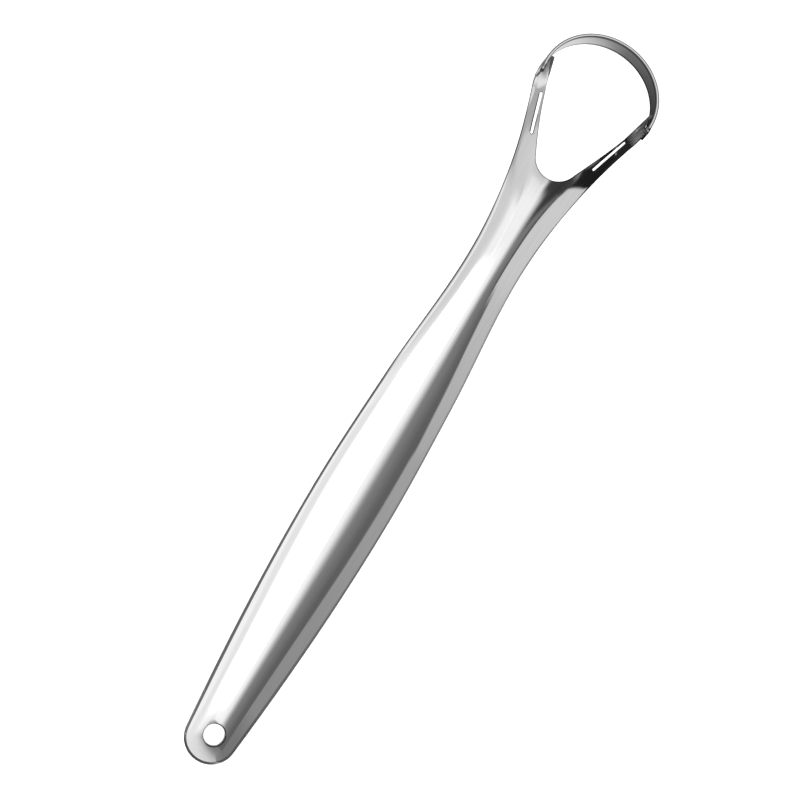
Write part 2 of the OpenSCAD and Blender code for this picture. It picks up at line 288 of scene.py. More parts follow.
def column_shares(row):
    """The shares of a row at which its columns lie: even on the body, following the slot on the arm."""
    domed = min(row, LAST_DOMED)
    a, b = ENDS[domed]
    rim = rim_shares((b - a).length)
    shares = [c / PLAIN_COLUMNS for c in range(PLAIN_COLUMNS + 1)]
    if domed > FIRST_CORNER:
        low, high = (share / rim[0] for share in slot_span(domed))
        on_arm = smooth((domed - FIRST_CORNER) / SLOT_BLEND_ROWS)
        shares = [lerp(even, slotted_share(c, low, high), on_arm) for c, even in enumerate(shares)]
    return [share * rim[0] for share in shares] + rim[1:]


# The tab's end line from its inner to its outer corner: share of the row, place in the band's frame, and the
# way from the upper to the lower skin
TAB_END = [
    (0, Vector((10.98, 1.6, BAND_W - TIP_TOP_INSET)), Vector((-SHEET, 0, 0))),
    (0.7, Vector((11.03, 1.3, 0.25)), Vector((-SHEET, 0, 0))),
    (0.82, Vector((11.08, 0.9, -0.25)), Vector((-0.52, 0, -0.3))),
    (1, Vector((11.66, 0.1, -0.7)), Vector((-0.42, 0, -0.43))),
]
TAB_BULGE, TAB_BULGE_FROM = 0.17, 0.55


def tab_end(share, lower):
    i = 0
    while i < len(TAB_END) - 2 and share > TAB_END[i + 1][0]:
        i += 1
    (share_a, place_a, down_a), (share_b, place_b, down_b) = TAB_END[i], TAB_END[i + 1]
    t = (share - share_a) / (share_b - share_a)
    place = band_point(*lerp(place_a, place_b, t))
    return place + lerp(down_a, down_b, t) if lower else place


def tab_point(share, t, start, lower):
    """A point of the tab between the crease, t = 0, and its end, t = 1."""
    p = lerp(start, tab_end(share, lower), t)
    p.x += TAB_BULGE * 4 * t * (1 - t) * smooth((share - TAB_BULGE_FROM) / (1 - TAB_BULGE_FROM))
    return p


CUT_LEAD, CUT_RUN, CORNER_CUT_SHARE = 6, 8, 0.2


def wall_cut(row, share):
    """How far the lower skin is straight below the upper: 1 at the opening, 0 at the outer edge and tail."""
    start = smooth((row - FIRST_CORNER + CUT_LEAD) / CUT_RUN)
    if row <= FIRST_CORNER:
        return start * (1 - share)
    edge = slot_span(min(row, LAST_DOMED))[1] if row > FIRST_ARM - CUT_LEAD else CORNER_CUT_SHARE
    return start * (1 - smooth((share - edge) / (1 - edge)))


# Shearing has rolled the upper face down along its outer edge
ROLL_WIDTH, ROLL_DROP = 0.65, 0.25


def upper_skin(x, y, from_rim):
    rolled = ROLL_DROP * max(0, 1 - from_rim / ROLL_WIDTH) ** 2
    return Vector((x, y, domed_z(x, y))) - Vector((0, 0, rolled))


def lower_skin(x, y, cut):
    """The point under x, y, one sheet away: along the normal where cut is 0, straight below where it is 1."""
    upper_x, upper_y = x, y
    for _ in range(3):
        n = domed_normal(upper_x, upper_y)
        upper_x, upper_y = x + cut * SHEET * n.x, y + cut * SHEET * n.y
    n = domed_normal(upper_x, upper_y)
    return Vector((upper_x, upper_y, domed_z(upper_x, upper_y))) - SHEET * n


def lay_grid():
    """The right half of the handle in plan. Its vertices keep their row, column and share of the row."""
    bm = bmesh.new()
    bmesh.ops.create_grid(bm, x_segments=COLUMNS, y_segments=ROWS, size=0.5)
    row_of = bm.verts.layers.int.new("row")
    column_of = bm.verts.layers.int.new("column")
    share_of = bm.verts.layers.float.new("share")
    bm.verts.layers.float.new("ground")
    shares = [column_shares(r) for r in range(ROWS + 1)]
    grid = {}
    for v in bm.verts:
        r = round((v.co.y + 0.5) * ROWS)
        c = round((v.co.x + 0.5) * COLUMNS)
        grid[r, c] = v
        v[row_of] = r
        v[column_of] = c
        v[share_of] = shares[r][c]
        v.co = lerp(*ENDS[min(r, LAST_DOMED)], shares[r][c]).to_3d()
    return bm, grid


def block_faces(bm, grid, rows, columns):
    """The faces of a block of the grid, given its first and last row and column."""
    block = {grid[r, c] for r in range(rows[0], rows[1] + 1) for c in range(columns[0], columns[1] + 1)}
    return [f for f in bm.faces if block.issuperset(f.verts)]


HOLE_R = HOLE_D / 2
HOLE_BLOCK_REACH = HOLE_R * 0.8


def open_hang_hole(bm, grid):
    """Finds a block of faces at the middle line that comes out, and lays its border round the hole."""
    share_of = bm.verts.layers.float["share"]
    rows = [r for r in range(FIRST_CORNER) if abs(ENDS[r][0].y - HOLE_AT) < HOLE_BLOCK_REACH]
    first, last = rows[0], rows[-1]
    side = max(c for c in range(COLUMNS) if grid[first, c][share_of] * half_width(HOLE_AT) < HOLE_BLOCK_REACH)
    border = [grid[first, c] for c in range(side + 1)]
    border += [grid[r, side] for r in range(first + 1, last)]
    border += [grid[last, c] for c in range(side, -1, -1)]
    for i, v in enumerate(border):
        a = lerp(-math.pi / 2, math.pi / 2, i / (len(border) - 1))
        v.co = Vector((HOLE_R * math.cos(a), HOLE_AT + HOLE_R * math.sin(a), 0))
    return block_faces(bm, grid, (first, last), (0, side)), border, (first, last)


SLOT_END_REACH = SLOT_W * 0.3


def slot_end_row(end, way):
    """The row nearest to the middle of the slot's rounded end."""
    def miss(row):
        on_slot = lerp(*ENDS[row], sum(slot_span(row)) / 2)
        return abs((on_slot - end).dot(SLOT_WAY) - way * SLOT_END_REACH)

    return min(range(FIRST_CORNER + 2, LAST_DOMED), key=miss)


def open_slot(bm, grid):
    """Finds the faces between the slot's columns that come out, and rounds the two ends."""
    rows = slot_end_row(SLOT_ROOT, -1), slot_end_row(SLOT_TIP, 1)
    columns = INNER_COLUMNS, INNER_COLUMNS + SLOT_COLUMNS
    for i in range(SLOT_COLUMNS + 1):
        a = lerp(-math.pi / 2, math.pi / 2, i / SLOT_COLUMNS)
        across = SLOT_SIDE * (SLOT_W / 2 * math.sin(a))
        for row, end, way in zip(rows, (SLOT_ROOT, SLOT_TIP), (-1, 1)):
            p = end + across + SLOT_WAY * (way * SLOT_W / 2 * math.cos(a))
            grid[row, INNER_COLUMNS + i].co = p.to_3d()
    border = [grid[r, c] for r in range(rows[0], rows[1] + 1) for c in columns]
    border += [grid[r, c] for r in rows for c in range(columns[0], columns[1] + 1)]
    return block_faces(bm, grid, rows, columns), border, rows


RELAX_TURNS = 24
RELAX_HOLE_ROWS, RELAX_SLOT_ROWS, RELAX_SLOT_COLUMNS = 7, 4, 3
RELAX_LAST_SHARE = 0.97


def relax_grid(bm, fixed, hole_rows, slot_rows):
    """Evens out the grid round the hole and round the slot's two ends, in plan."""
    row_of = bm.verts.layers.int["row"]
    column_of = bm.verts.layers.int["column"]
    share_of = bm.verts.layers.float["share"]
    hole_row = sum(hole_rows) / 2
    hole_reach = (hole_rows[1] - hole_rows[0]) / 2 + RELAX_HOLE_ROWS
    first_column = INNER_COLUMNS - RELAX_SLOT_COLUMNS
    last_column = INNER_COLUMNS + SLOT_COLUMNS + RELAX_SLOT_COLUMNS

    def near_hole(v):
        return abs(v[row_of] - hole_row) < hole_reach and v[share_of] < RELAX_LAST_SHARE

    def near_slot_end(v):
        rows_off = min(abs(v[row_of] - r) for r in slot_rows)
        return rows_off < RELAX_SLOT_ROWS and first_column <= v[column_of] <= last_column

    free = [v for v in bm.verts if v not in fixed and 1 <= v[row_of] < LAST_DOMED
            and (near_hole(v) or near_slot_end(v))]
    for _ in range(RELAX_TURNS):
        moved = {}
        for v in free:
            if v[share_of] > 0:
                near = [e.other_vert(v).co for e in v.link_edges]
                moved[v] = v.co.lerp(sum(near, Vector()) / len(near), 0.5)
        for v, p in moved.items():
            v.co = p
        for v in free:
            on_line = [e.other_vert(v).co.y for e in v.link_edges if e.other_vert(v)[share_of] == 0]
            if v[share_of] == 0 and v[row_of] < FIRST_CORNER and len(on_line) == 2:
                v.co.y = sum(on_line) / 2


def skin_points(bm):
    """Where each vertex of the plan goes on the upper and on the lower skin."""
    row_of = bm.verts.layers.int["row"]
    share_of = bm.verts.layers.float["share"]
    upper = {}
    lower = {}
    for v in bm.verts:
        row, share = v[row_of], v[share_of]
        x, y = v.co.xy
        if y < TAIL_Y:
            from_rim = TAIL_R - math.hypot(x, y - TAIL_R)
        elif row < FIRST_CORNER:
            from_rim = half_width(y) - x
        else:
            a, b = ENDS[min(row, LAST_DOMED)]
            from_rim = (1 - share) * (b - a).length
        upper[v] = upper_skin(x, y, from_rim)
        lower[v] = lower_skin(x, y, wall_cut(row, share))
        if row > LAST_DOMED:
            t = (row - LAST_DOMED) / TIP_ROWS
            upper[v] = tab_point(share, t, upper[v], False)
            lower[v] = tab_point(share, t, lower[v], True)
    return upper, lower


GROUND_RUN_SHARE = 0.4
MERGE_DISTANCE = 1e-5


def close_skins(bm, upper, lower):
    """Lifts the plan to the upper skin, extrudes it for the lower skin and the walls, and mirrors it all."""
    row_of = bm.verts.layers.int["row"]
    ground = bm.verts.layers.float["ground"]

    def key(v):
        return tuple(round(k, 7) for k in v.co)

    for v in bm.verts:
        v.co = upper[v]
        v[ground] = smooth((v[row_of] - LAST_DOMED) / TIP_ROWS / GROUND_RUN_SHARE)
    below = {key(v): lower[v] for v in bm.verts}
    extruded = bmesh.ops.extrude_face_region(bm, geom=bm.faces[:], use_keep_orig=True)
    for v in (g for g in extruded["geom"] if isinstance(g, bmesh.types.BMVert)):
        v.co = below[key(v)]
    # No wall stands on the middle line, where the two halves join
    middle = [f for f in bm.faces if all(abs(v.co.x) < 1e-6 for v in f.verts)]
    bmesh.ops.delete(bm, geom=middle, context="FACES")
    bmesh.ops.mirror(bm, geom=bm.verts[:] + bm.edges[:] + bm.faces[:], axis="X", merge_dist=MERGE_DISTANCE)
    bmesh.ops.remove_doubles(bm, verts=bm.verts[:], dist=MERGE_DISTANCE)
    bmesh.ops.recalc_face_normals(bm, faces=bm.faces[:])


SHARP_ANGLE = math.radians(50)
HOLE_EDGE_REACH, SLOT_EDGE_REACH = HOLE_R * 1.15, SLOT_W * 0.75
# Radius and number of steps of the rounding of each kind of edge
HOLE_EASE, SLOT_EASE, OUTER_EASE = (0.3, 5), (0.05, 2), (0.1, 3)


def from_hole(place):
    return math.hypot(place.x, place.y - HOLE_AT)


def from_slot(place):
    """How far a place lies beside the slot's line, and how far along it from its root, on either arm."""
    off = Vector((abs(place.x), place.y)) - SLOT_ROOT
    return off.dot(SLOT_SIDE), off.dot(SLOT_WAY)


def round_sharp_edges(bm):
    """Eases the sheet's sharp edges and returns points along them as they were."""
    def near_hole(e):
        return all(from_hole(v.co) < HOLE_EDGE_REACH for v in e.verts)

    def near_slot(e):
        beside, run = from_slot((e.verts[0].co + e.verts[1].co) / 2)
        return -SLOT_W < run < SLOT_LENGTH + SLOT_W and abs(beside) < SLOT_EDGE_REACH

    rim = [e for e in bm.edges if len(e.link_faces) == 2 and e.calc_face_angle() > SHARP_ANGLE]
    hole_rim = [e for e in rim if near_hole(e)]
    slot_rim = [e for e in rim if near_slot(e)]
    inner = set(hole_rim) | set(slot_rim)
    outer_rim = [e for e in rim if e not in inner]
    points = rim_points(rim)
    for edges, (radius, count) in ((hole_rim, HOLE_EASE), (slot_rim, SLOT_EASE), (outer_rim, OUTER_EASE)):
        bmesh.ops.bevel(bm, geom=[e for e in edges if e.is_valid], offset=radius, offset_type="OFFSET",
                        segments=count, profile=0.5, affect="EDGES", clamp_overlap=True, material=-1)
    return points


RIM_POINT_SPACING = 0.06


def rim_points(edges):
    """Points along the sharp edges, no further apart than the spacing."""
    points = []
    for e in edges:
        a, b = e.verts[0].co, e.verts[1].co
        count = max(1, math.ceil((b - a).length / RIM_POINT_SPACING))
        points += [a.lerp(b, i / count) for i in range(count + 1)]
    return points


# Painted shade: a dark line along the sharp edges darkens the colour in place of the dark reflections there
# The dark edge line is wide where a vertex's distance is scaled down, and fine where it is scaled up
HOLE_RING_REACH = HOLE_R * 1.6
HOLE_RIGHT_SCALE, HOLE_LEFT_SCALE = 0.5, 2.2
LEFT_SLOT_SCALE = 0.5
CONTOUR_STRIP = 1
ARM_CONTOUR_SCALE, ARM_CONTOUR_LEAD, ARM_CONTOUR_RUN = 0.45, 16, 14
LEFT_TAB_SCALE = 3
# The tabs are ground matt; the right one less, as painted shade, so that it stays darker than the left
RIGHT_TAB_SHADE_GROUND_SHARE = 0.28


def mark_painted_shade(bm, points):
    """Keeps how far each vertex is from the sharp edges, given as points, which draws the dark edge line of
    painted shade, and grinds the right tab less, which keeps it darker as painted shade.
    """
    tree = KDTree(len(points))
    for i, p in enumerate(points):
        tree.insert(p, i)
    tree.balance()
    rim = bm.verts.layers.float.new("rim_distance")
    ground = bm.verts.layers.float["ground"]
    for v in bm.verts:
        x, y = v.co.xy
        v[rim] = tree.find(v.co)[2]
        # The painted edge shade is set side by side, as the light falls: wider on the hole's right, on the
        # left slot and on the outer contour from near the root on, finer on the left tab
        if from_hole(v.co) < HOLE_RING_REACH:
            v[rim] *= lerp(HOLE_RIGHT_SCALE, HOLE_LEFT_SCALE, smooth(-x / HOLE_R))
        beside, run = from_slot(v.co)
        if x < 0 and 0 < beside < SLOT_W and 0 < run < SLOT_LENGTH:
            v[rim] *= LEFT_SLOT_SCALE
        if abs(x) > half_width(min(y, TIP_Y)) - CONTOUR_STRIP:
            v[rim] *= lerp(1, ARM_CONTOUR_SCALE, smooth((y - OPENING_Y + ARM_CONTOUR_LEAD) / ARM_CONTOUR_RUN))
        elif x < 0:
            v[rim] *= lerp(1, LEFT_TAB_SCALE, v[ground])
        # Painted shade: the right tab keeps more mirror than the left and so shows darker
        if x > 0:
            v[ground] *= RIGHT_TAB_SHADE_GROUND_SHARE


def make_handle():
    bm, grid = lay_grid()
    hole_faces, hole_border, hole_rows = open_hang_hole(bm, grid)
    slot_faces, slot_border, slot_rows = open_slot(bm, grid)
    bmesh.ops.delete(bm, geom=hole_faces + slot_faces, context="FACES")
    relax_grid(bm, set(hole_border) | set(slot_border), hole_rows, slot_rows)
    close_skins(bm, *skin_points(bm))
    mark_painted_shade(bm, round_sharp_edges(bm))
    return finish_piece(bm, "pressed_handle")


BAND_EASE, BAND_EASE_POINTS = 0.1, 4
BAND_STEPS = 144
# Each side of the band's section has points this far from its corners
CORNER_MARKS = (0.2, 0.6, 1, 1.4)
# The corners of the band's section: place, angle at which the rounding starts, and the scale of the distance
# that draws the dark edge line of painted shade, at the start and at the end of the side that follows
BAND_CORNERS = [
    (BAND_INNER_R, 0, 180, 1, 1),
    (BAND_R, 0, 270, 0.3, 0.3),
    (BAND_R, BAND_W, 0, 0.6, 3),
    (BAND_INNER_R, BAND_W, 90, 0.3, 0.3),
]


def band_section():
    """Points round the strip's section, corners rounded, each with its scaled distance from the corners."""
    points = []
    for i, (x, z, first_angle, at_start, at_end) in enumerate(BAND_CORNERS):
        centre_x = x - BAND_EASE if x == BAND_R else x + BAND_EASE
        centre_z = z - BAND_EASE if z == BAND_W else z + BAND_EASE
        for k in range(BAND_EASE_POINTS):
            a = math.radians(first_angle + 90 * k / (BAND_EASE_POINTS - 1))
            points.append((centre_x + BAND_EASE * math.cos(a), centre_z + BAND_EASE * math.sin(a), 0))
        next_x, next_z = BAND_CORNERS[(i + 1) % len(BAND_CORNERS)][:2]
        side = math.hypot(next_x - x, next_z - z)
        near = [m for m in CORNER_MARKS if m < side / 2]
        for mark in (*near, side / 2, *(side - m for m in reversed(near))):
            from_corner = min(mark * at_start, (side - mark) * at_end)
            points.append((lerp(x, next_x, mark / side), lerp(z, next_z, mark / side), from_corner))
    return points


def make_band():
    bm = bmesh.new()
    rim = bm.verts.layers.float.new("rim_distance")
    ring = []
    for x, z, from_corner in band_section():
        v = bm.verts.new((x, -BAND_END, z))
        v[rim] = from_corner
        ring.append(v)
    loop = [bm.edges.new((v, ring[i - 1])) for i, v in enumerate(ring)]

    def drawn(edges, way):
        """Extrudes edges along a way and returns the new edges."""
        made = bmesh.ops.extrude_edge_only(bm, edges=edges)["geom"]
        bmesh.ops.translate(bm, vec=way, verts=[g for g in made if isinstance(g, bmesh.types.BMVert)])
        return [g for g in made if isinstance(g, bmesh.types.BMEdge)]

    front = drawn(loop, (0, BAND_END, 0))
    spun = bmesh.ops.spin(bm, geom=front, cent=(0, 0, 0), axis=(0, 0, 1), angle=math.pi, steps=BAND_STEPS,
                          use_merge=False)
    far = drawn([g for g in spun["geom_last"] if isinstance(g, bmesh.types.BMEdge)], (0, -BAND_END, 0))
    for edges in (loop, far):
        bmesh.ops.edgeloop_fill(bm, edges=edges)
    bmesh.ops.recalc_face_normals(bm, faces=bm.faces[:])
    bmesh.ops.transform(bm, matrix=BAND_PLACE, verts=bm.verts[:])
    return finish_piece(bm, "curved_band")


BEAD_FOOT, BEAD_HEAD = 0.5, BAND_W + 0.02
BEAD_THIN_R, BEAD_THICK_R = 0.12, 0.4
BEAD_SWELL_FROM, BEAD_SWELL_RUN = 0.55, 0.35
BEAD_DEEP = 1.1
BEAD_INTO_BAND, BEAD_PAST_END = 0.18, 0.08


def make_weld(side, name):
    """A small uneven bead, thickest at the band's upper corner and running out thinly down its end."""
    bm = bmesh.new()
    bmesh.ops.create_uvsphere(bm, u_segments=32, v_segments=32, radius=1)
    for v in bm.verts:
        t = (v.co.z + 1) / 2
        a = math.atan2(v.co.y, v.co.x)
        full = lerp(BEAD_THIN_R, BEAD_THICK_R, smooth((t - BEAD_SWELL_FROM) / BEAD_SWELL_RUN))
        uneven = 1 + 0.1 * math.sin(9 * t + 2 * a) + 0.06 * math.sin(23 * t - a)
        closed = math.sqrt(max(0, 1 - (2 * t - 1) ** 6))
        r = full * uneven * closed
        v.co = Vector((r * math.cos(a), BEAD_DEEP * r * math.sin(a), lerp(BEAD_FOOT, BEAD_HEAD, t)))
    bmesh.ops.recalc_face_normals(bm, faces=bm.faces[:])
    place = (side * (BAND_INNER_R + BEAD_INTO_BAND), -BAND_END - BEAD_PAST_END, 0)
    bmesh.ops.translate(bm, vec=place, verts=bm.verts[:])
    bmesh.ops.transform(bm, matrix=BAND_PLACE, verts=bm.verts[:])
    return finish_piece(bm, name)


def nodes_of(material):
    """The material's node tree, cleared, with a Principled shader."""
    material.use_nodes = True
    tree = material.node_tree
    tree.nodes.clear()
    out = tree.nodes.new("ShaderNodeOutputMaterial")
    shader = tree.nodes.new("ShaderNodeBsdfPrincipled")
    tree.links.new(shader.outputs["BSDF"], out.inputs["Surface"])
    return tree, shader


def map_range(tree, value, from_range, to_range, interpolation="LINEAR"):
    """Maps a value from one range to another, held at the ends."""
    node = tree.nodes.new("ShaderNodeMapRange")
    node.interpolation_type = interpolation
    node.inputs["From Min"].default_value, node.inputs["From Max"].default_value = from_range
    node.inputs["To Min"].default_value, node.inputs["To Max"].default_value = to_range
    tree.links.new(value, node.inputs["Value"])
    return node.outputs["Result"]


def math_of(tree, operation, a, b):
    node = tree.nodes.new("ShaderNodeMath")
    node.operation = operation
    tree.links.new(a, node.inputs[0])
    tree.links.new(b, node.inputs[1])
    return node.outputs["Value"]


def long_noise(tree, scale, detail):
    """Noise in the piece's own place, stretched along the tool. The scale is waves in a metre."""
    place = tree.nodes.new("ShaderNodeTexCoord")
    stretch = tree.nodes.new("ShaderNodeMapping")
    stretch.inputs["Scale"].default_value = scale
    noise = tree.nodes.new("ShaderNodeTexNoise")
    noise.inputs["Scale"].default_value = 1
    noise.inputs["Detail"].default_value = detail
    tree.links.new(place.outputs["Object"], stretch.inputs["Vector"])
    tree.links.new(stretch.outputs["Vector"], noise.inputs["Vector"])
    return noise.outputs["Fac"]


def mixed_colour(tree, share, a, b):
    """Colour a where the share is 0 and b where it is 1. Each is a colour or a socket."""
    mix = tree.nodes.new("ShaderNodeMix")
    mix.data_type = "RGBA"
    tree.links.new(share, mix.inputs["Factor"])
    for socket, colour in ((mix.inputs["A"], a), (mix.inputs["B"], b)):
        if isinstance(colour, bpy.types.NodeSocket):
            tree.links.new(colour, socket)
        else:
            socket.default_value = (*colour, 1)
    return mix.outputs["Result"]


def kept_value(tree, name):
    """A value that the piece's vertices keep."""
    node = tree.nodes.new("ShaderNodeAttribute")
    node.attribute_name = name
    return node.outputs["Fac"]


# The polish: a fine grain that turns the light a little, and longer streaks that are a little darker
GRAIN_SCALE, GRAIN_DETAIL, GRAIN_ROUGH = (9000, 260, 9000), 3, (0.8, 1.25)
GRAIN_DEPTH, GRAIN_STRENGTH = 0.02 * MM, 0.03
STREAK_SCALE, STREAK_DETAIL, STREAK_RANGE = (2600, 70, 2600), 2, (0.35, 0.6)
STREAK_TONE = 0.965
# How softly the dark edge line of painted shade fades out, as shares of its width
EDGE_LINE_SOFT = (0.75, 1.25)


def polished_steel(name, grey, roughness, edge_line=0, edge_grey=0, ground_share=0):
    """Mirror polished steel with faint polishing streaks along the tool.

    edge_line is how wide the dark line of painted shade along the sharp edges is, in millimetres, and
    edge_grey its grey.
    ground_share is how far from mirror to matt the tabs are ground.
    """
    material = bpy.data.materials.new(name)
    tree, shader = nodes_of(material)
    shader.inputs["Metallic"].default_value = 1
    grain = long_noise(tree, GRAIN_SCALE, GRAIN_DETAIL)
    rough = map_range(tree, grain, (0, 1), [roughness * k for k in GRAIN_ROUGH])
    tree.links.new(rough, shader.inputs["Roughness"])
    bump = tree.nodes.new("ShaderNodeBump")
    bump.inputs["Strength"].default_value = GRAIN_STRENGTH
    bump.inputs["Distance"].default_value = GRAIN_DEPTH
    tree.links.new(grain, bump.inputs["Height"])
    tree.links.new(bump.outputs["Normal"], shader.inputs["Normal"])
    streaks = map_range(tree, long_noise(tree, STREAK_SCALE, STREAK_DETAIL), STREAK_RANGE, (0, 1))
    colour = mixed_colour(tree, streaks, [STREAK_TONE * c for c in grey], grey)
    # Painted shade: near the sharp edges the colour turns to the edge grey, in place of dark reflections
    # there
    if edge_line:
        ends = [edge_line * k for k in EDGE_LINE_SOFT]
        past_line = map_range(tree, kept_value(tree, "rim_distance"), ends, (0, 1), "SMOOTHSTEP")
        colour = mixed_colour(tree, past_line, (edge_grey, edge_grey, edge_grey), colour)
    tree.links.new(colour, shader.inputs["Base Color"])
    if ground_share:
        mirror = map_range(tree, kept_value(tree, "ground"), (0, 1), (1, 1 - ground_share))
        tree.links.new(mirror, shader.inputs["Metallic"])
    return material


# The weld beads' near-black grey is painted shade: the shadow in the notch between the band's end and the arm
STEEL_GREY, WELD_SHADE_GREY = (0.9, 0.9, 0.9), (0.09, 0.085, 0.08)
handle = make_handle()
band = make_band()
left_bead = make_weld(-1, "left_bead")
right_bead = make_weld(1, "right_bead")
# The handle's dark edge line is painted shade, standing in for dark reflections at its edges
handle_steel = polished_steel("polished_handle_steel", STEEL_GREY, 0.08, edge_line=0.13, edge_grey=0.1,
                              ground_share=0.75)
# The band's dark edge lines are painted shade, standing in for dark reflections along its edges
band_steel = polished_steel("polished_band_steel", STEEL_GREY, 0.08, edge_line=0.18, edge_grey=0.24)
bead_metal = polished_steel("weld_metal_painted_shade", WELD_SHADE_GREY, 0.4)
for piece, metal, node, slot in (
        (handle, handle_steel, "handle", "handle_steel"),
        (band, band_steel, "scraper_band", "band_steel"),
        (left_bead, bead_metal, "left_weld", "weld"),
        (right_bead, bead_metal, "right_weld", "weld")):
    piece.data.materials.append(metal)
    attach(piece, "root")
    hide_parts(node)

# Camera: above the handle, turned a little to the left about the tool's length
PICTURE = 800
PIXELS_PER_MM = 5.394
HOLE_PIXEL = (213.5, 734.5)
# Where that pixel lies on the tool, across it and along it from the tail's end
HOLE_ACROSS, HOLE_ALONG = 0.45 / PIXELS_PER_MM, 31 / PIXELS_PER_MM
LENS = 1200.0
SENSOR = 36.0
ROLL = math.radians(5.2)
IN_PLANE = math.radians(30.93)

scene = bpy.context.scene
scene.view_settings.view_transform = "Standard"
turn = Matrix.Rotation(REST_TILT, 3, "X")
across = Vector((math.cos(ROLL), 0, math.sin(ROLL)))
lengthwise = Vector((0, 1, 0))
towards = Vector((-math.sin(ROLL), 0, math.cos(ROLL)))
right = across * math.cos(IN_PLANE) + lengthwise * math.sin(IN_PLANE)
up = lengthwise * math.cos(IN_PLANE) - across * math.sin(IN_PLANE)
middle = across * HOLE_ACROSS + lengthwise * HOLE_ALONG \
    + right * ((PICTURE / 2 - HOLE_PIXEL[0]) / PIXELS_PER_MM) \
    + up * ((HOLE_PIXEL[1] - PICTURE / 2) / PIXELS_PER_MM)
picture_middle = turn @ (middle - HOLE_CENTRE) * MM
right, up, towards = turn @ right, turn @ up, turn @ towards

lens = bpy.data.cameras.new("camera")
lens.lens = LENS
lens.sensor_width = SENSOR
lens.clip_start, lens.clip_end = 0.1, 40
camera = bpy.data.objects.new("camera", lens)
scene.collection.objects.link(camera)
scene.camera = camera
distance = PICTURE / PIXELS_PER_MM * MM * LENS / SENSOR
camera.matrix_world = Matrix.Translation(picture_middle + towards * distance) \
    @ Matrix((right, up, towards)).transposed().to_4x4()

# The floor lies under the tool's rest. Its sizes are metres.
FLOOR_Z = (AT_REST @ FRONT_LOW).z
FLOOR_HALF, FLOOR_MIDDLE_Y = 3, 0.07
PAPER_LIFT = 0.62


def white_paper():
    """Matt white paper that the camera, mirrors and glass see as pure white but for its shadows."""
    material = bpy.data.materials.new("white_paper")
    tree, shader = nodes_of(material)
    shader.inputs["Base Color"].default_value = (0.8, 0.8, 0.8, 1)
    shader.inputs["Roughness"].default_value = 0.9
    shader.inputs["Specular IOR Level"].default_value = 0
    shader.inputs["Emission Color"].default_value = (1, 1, 1, 1)
    path = tree.nodes.new("ShaderNodeLightPath")
    seen = math_of(tree, "MAXIMUM", path.outputs["Is Camera Ray"], path.outputs["Is Glossy Ray"])
    seen = math_of(tree, "MAXIMUM", seen, path.outputs["Is Transmission Ray"])
    tree.links.new(map_range(tree, seen, (0, 1), (0, PAPER_LIFT)), shader.inputs["Emission Strength"])
    return material


def make_floor():
    bm = bmesh.new()
    bmesh.ops.create_grid(bm, x_segments=1, y_segments=1, size=FLOOR_HALF)
    bmesh.ops.translate(bm, vec=(0, FLOOR_MIDDLE_Y, FLOOR_Z), verts=bm.verts[:])
    floor = finish_piece(bm, "floor", of_tool=False)
    floor.data.materials.append(white_paper())


make_floor()
world = bpy.data.worlds.new("studio")
scene.world = world
world.use_nodes = True
daylight = world.node_tree.nodes["Background"]
daylight.inputs["Color"].default_value = (1, 1, 1, 1)
daylight.inputs["Strength"].default_value = 1


def aim(polar, azimuth):
    """A direction from the tool: degrees away from the camera's, and round it from the picture's right."""
    t, f = math.radians(polar), math.radians(azimuth)
    return towards * math.cos(t) + (right * math.cos(f) + up * math.sin(f)) * math.sin(t)


def facing(polar, azimuth, away):
    """Where a card or lamp stands: its X runs away from the camera's axis, its Z points at the tool."""
    way = aim(polar, azimuth)
    x = (aim(polar + 1, azimuth) - aim(polar - 1, azimuth)).normalized()
    y = (-way).cross(x).normalized()
    return Matrix.Translation(picture_middle + way * away) @ Matrix((x, y, -way)).transposed().to_4x4()


def card_cloth(name, halves, fades, axis, shades):
    """Cloth of a card, seen by the metal alone.

    halves and fades have an entry for X and one for Y: half the card's size, and the soft widths at its two
    ends. shades are places along the axis, 0 to 1, each with its tone.
    """
    material = bpy.data.materials.new(name + "_cloth")
    material.use_nodes = True
    tree = material.node_tree
    tree.nodes.clear()
    new, link = tree.nodes.new, tree.links.new
    place = new("ShaderNodeTexCoord")
    split = new("ShaderNodeSeparateXYZ")
    link(place.outputs["Object"], split.inputs["Vector"])
    cover = None
    for side in ("X", "Y"):
        half, (first, last) = halves[side], fades[side]
        for width, start, end in ((first, first - half, -half), (last, half - last, half)):
            if width:
                edge = map_range(tree, split.outputs[side], (start, end), (1, 0), "SMOOTHSTEP")
                cover = math_of(tree, "MULTIPLY", cover, edge) if cover else edge
    ramp = new("ShaderNodeValToRGB")
    stops = ramp.color_ramp.elements
    while len(stops) < len(shades):
        stops.new(0.5)
    for stop, (at, tone) in zip(stops, shades):
        stop.position = at
        stop.color = (tone, tone, tone, 1)
    link(map_range(tree, split.outputs[axis], (-halves[axis], halves[axis]), (0, 1)), ramp.inputs["Fac"])
    glow = new("ShaderNodeEmission")
    link(ramp.outputs["Color"], glow.inputs["Color"])
    surface = glow.outputs["Emission"]
    if cover:
        clear = new("ShaderNodeBsdfTransparent")
        mix = new("ShaderNodeMixShader")
        link(cover, mix.inputs["Fac"])
        link(clear.outputs["BSDF"], mix.inputs[1])
        link(surface, mix.inputs[2])
        surface = mix.outputs["Shader"]
    link(surface, new("ShaderNodeOutputMaterial").inputs["Surface"])
    return material


